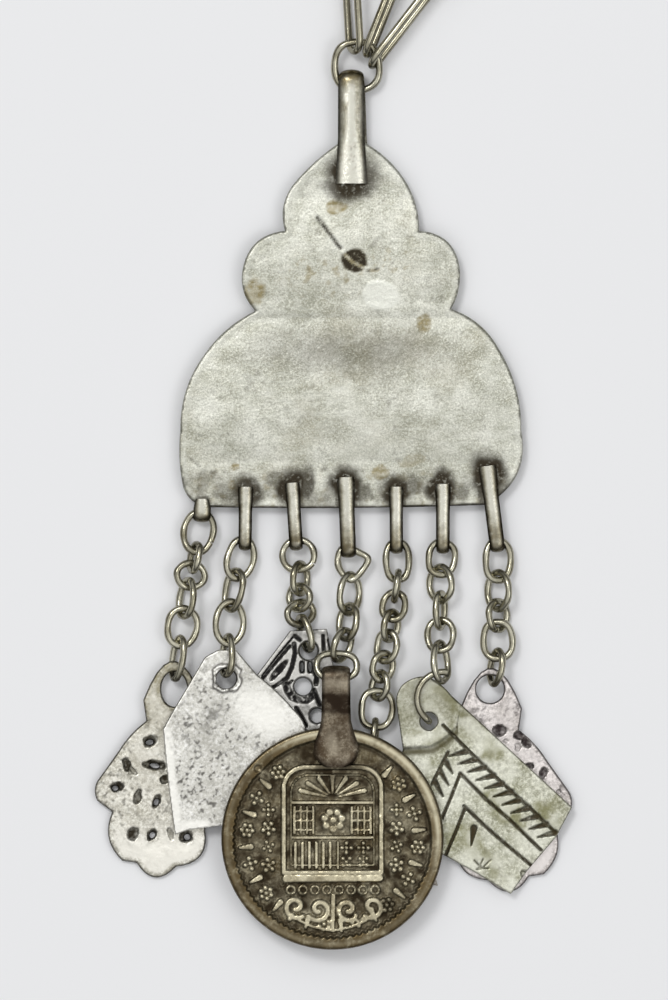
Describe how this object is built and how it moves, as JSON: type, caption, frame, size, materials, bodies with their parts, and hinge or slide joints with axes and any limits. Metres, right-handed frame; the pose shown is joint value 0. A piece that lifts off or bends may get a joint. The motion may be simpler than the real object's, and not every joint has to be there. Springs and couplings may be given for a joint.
{
  "type": "coin necklace",
  "caption": "Folk silver necklace laid flat: a long two-strand link chain, a three-lobed plate and charms with a big coin on short chains.",
  "frame": {"origin": "on the surface that the necklace lies on, below the middle of its outer box", "axes": "+X to the wearer's left as it lies back side up, +Y up the chest from the drops to the back of the neck, +Z away from the surface"},
  "size_m": [0.1516, 0.3768, 0.005],
  "materials": {
    "plate_silver": "worn satin, tarnished",
    "chain_silver": "tarnished drawn wire",
    "khamsa_silver": "worn cast silver",
    "kite_silver": "bright, speckled",
    "ornate_silver": "cast, dark in the recesses",
    "chevron_silver": "engraved, patinated",
    "coin_bronze": "worn bronze, dark in the recesses"
  },
  "bodies": {
    "root": {"neck_chain_outer": "chain_silver", "neck_chain_inner": "chain_silver", "pendant_ring": "chain_silver", "plate": "plate_silver", "khamsa_left": "khamsa_silver", "kite_plaque": "kite_silver", "ornate_triangle": "ornate_silver", "coin": "coin_bronze", "hidden_charm": "khamsa_silver", "chevron_plaque": "chevron_silver", "khamsa_right": "khamsa_silver", "drop_chain_1": "chain_silver", "drop_chain_2": "chain_silver", "drop_chain_3": "chain_silver", "drop_chain_4": "chain_silver", "drop_chain_5": "chain_silver", "drop_chain_6": "chain_silver", "drop_chain_7": "chain_silver"}
  },
  "joints": []
}
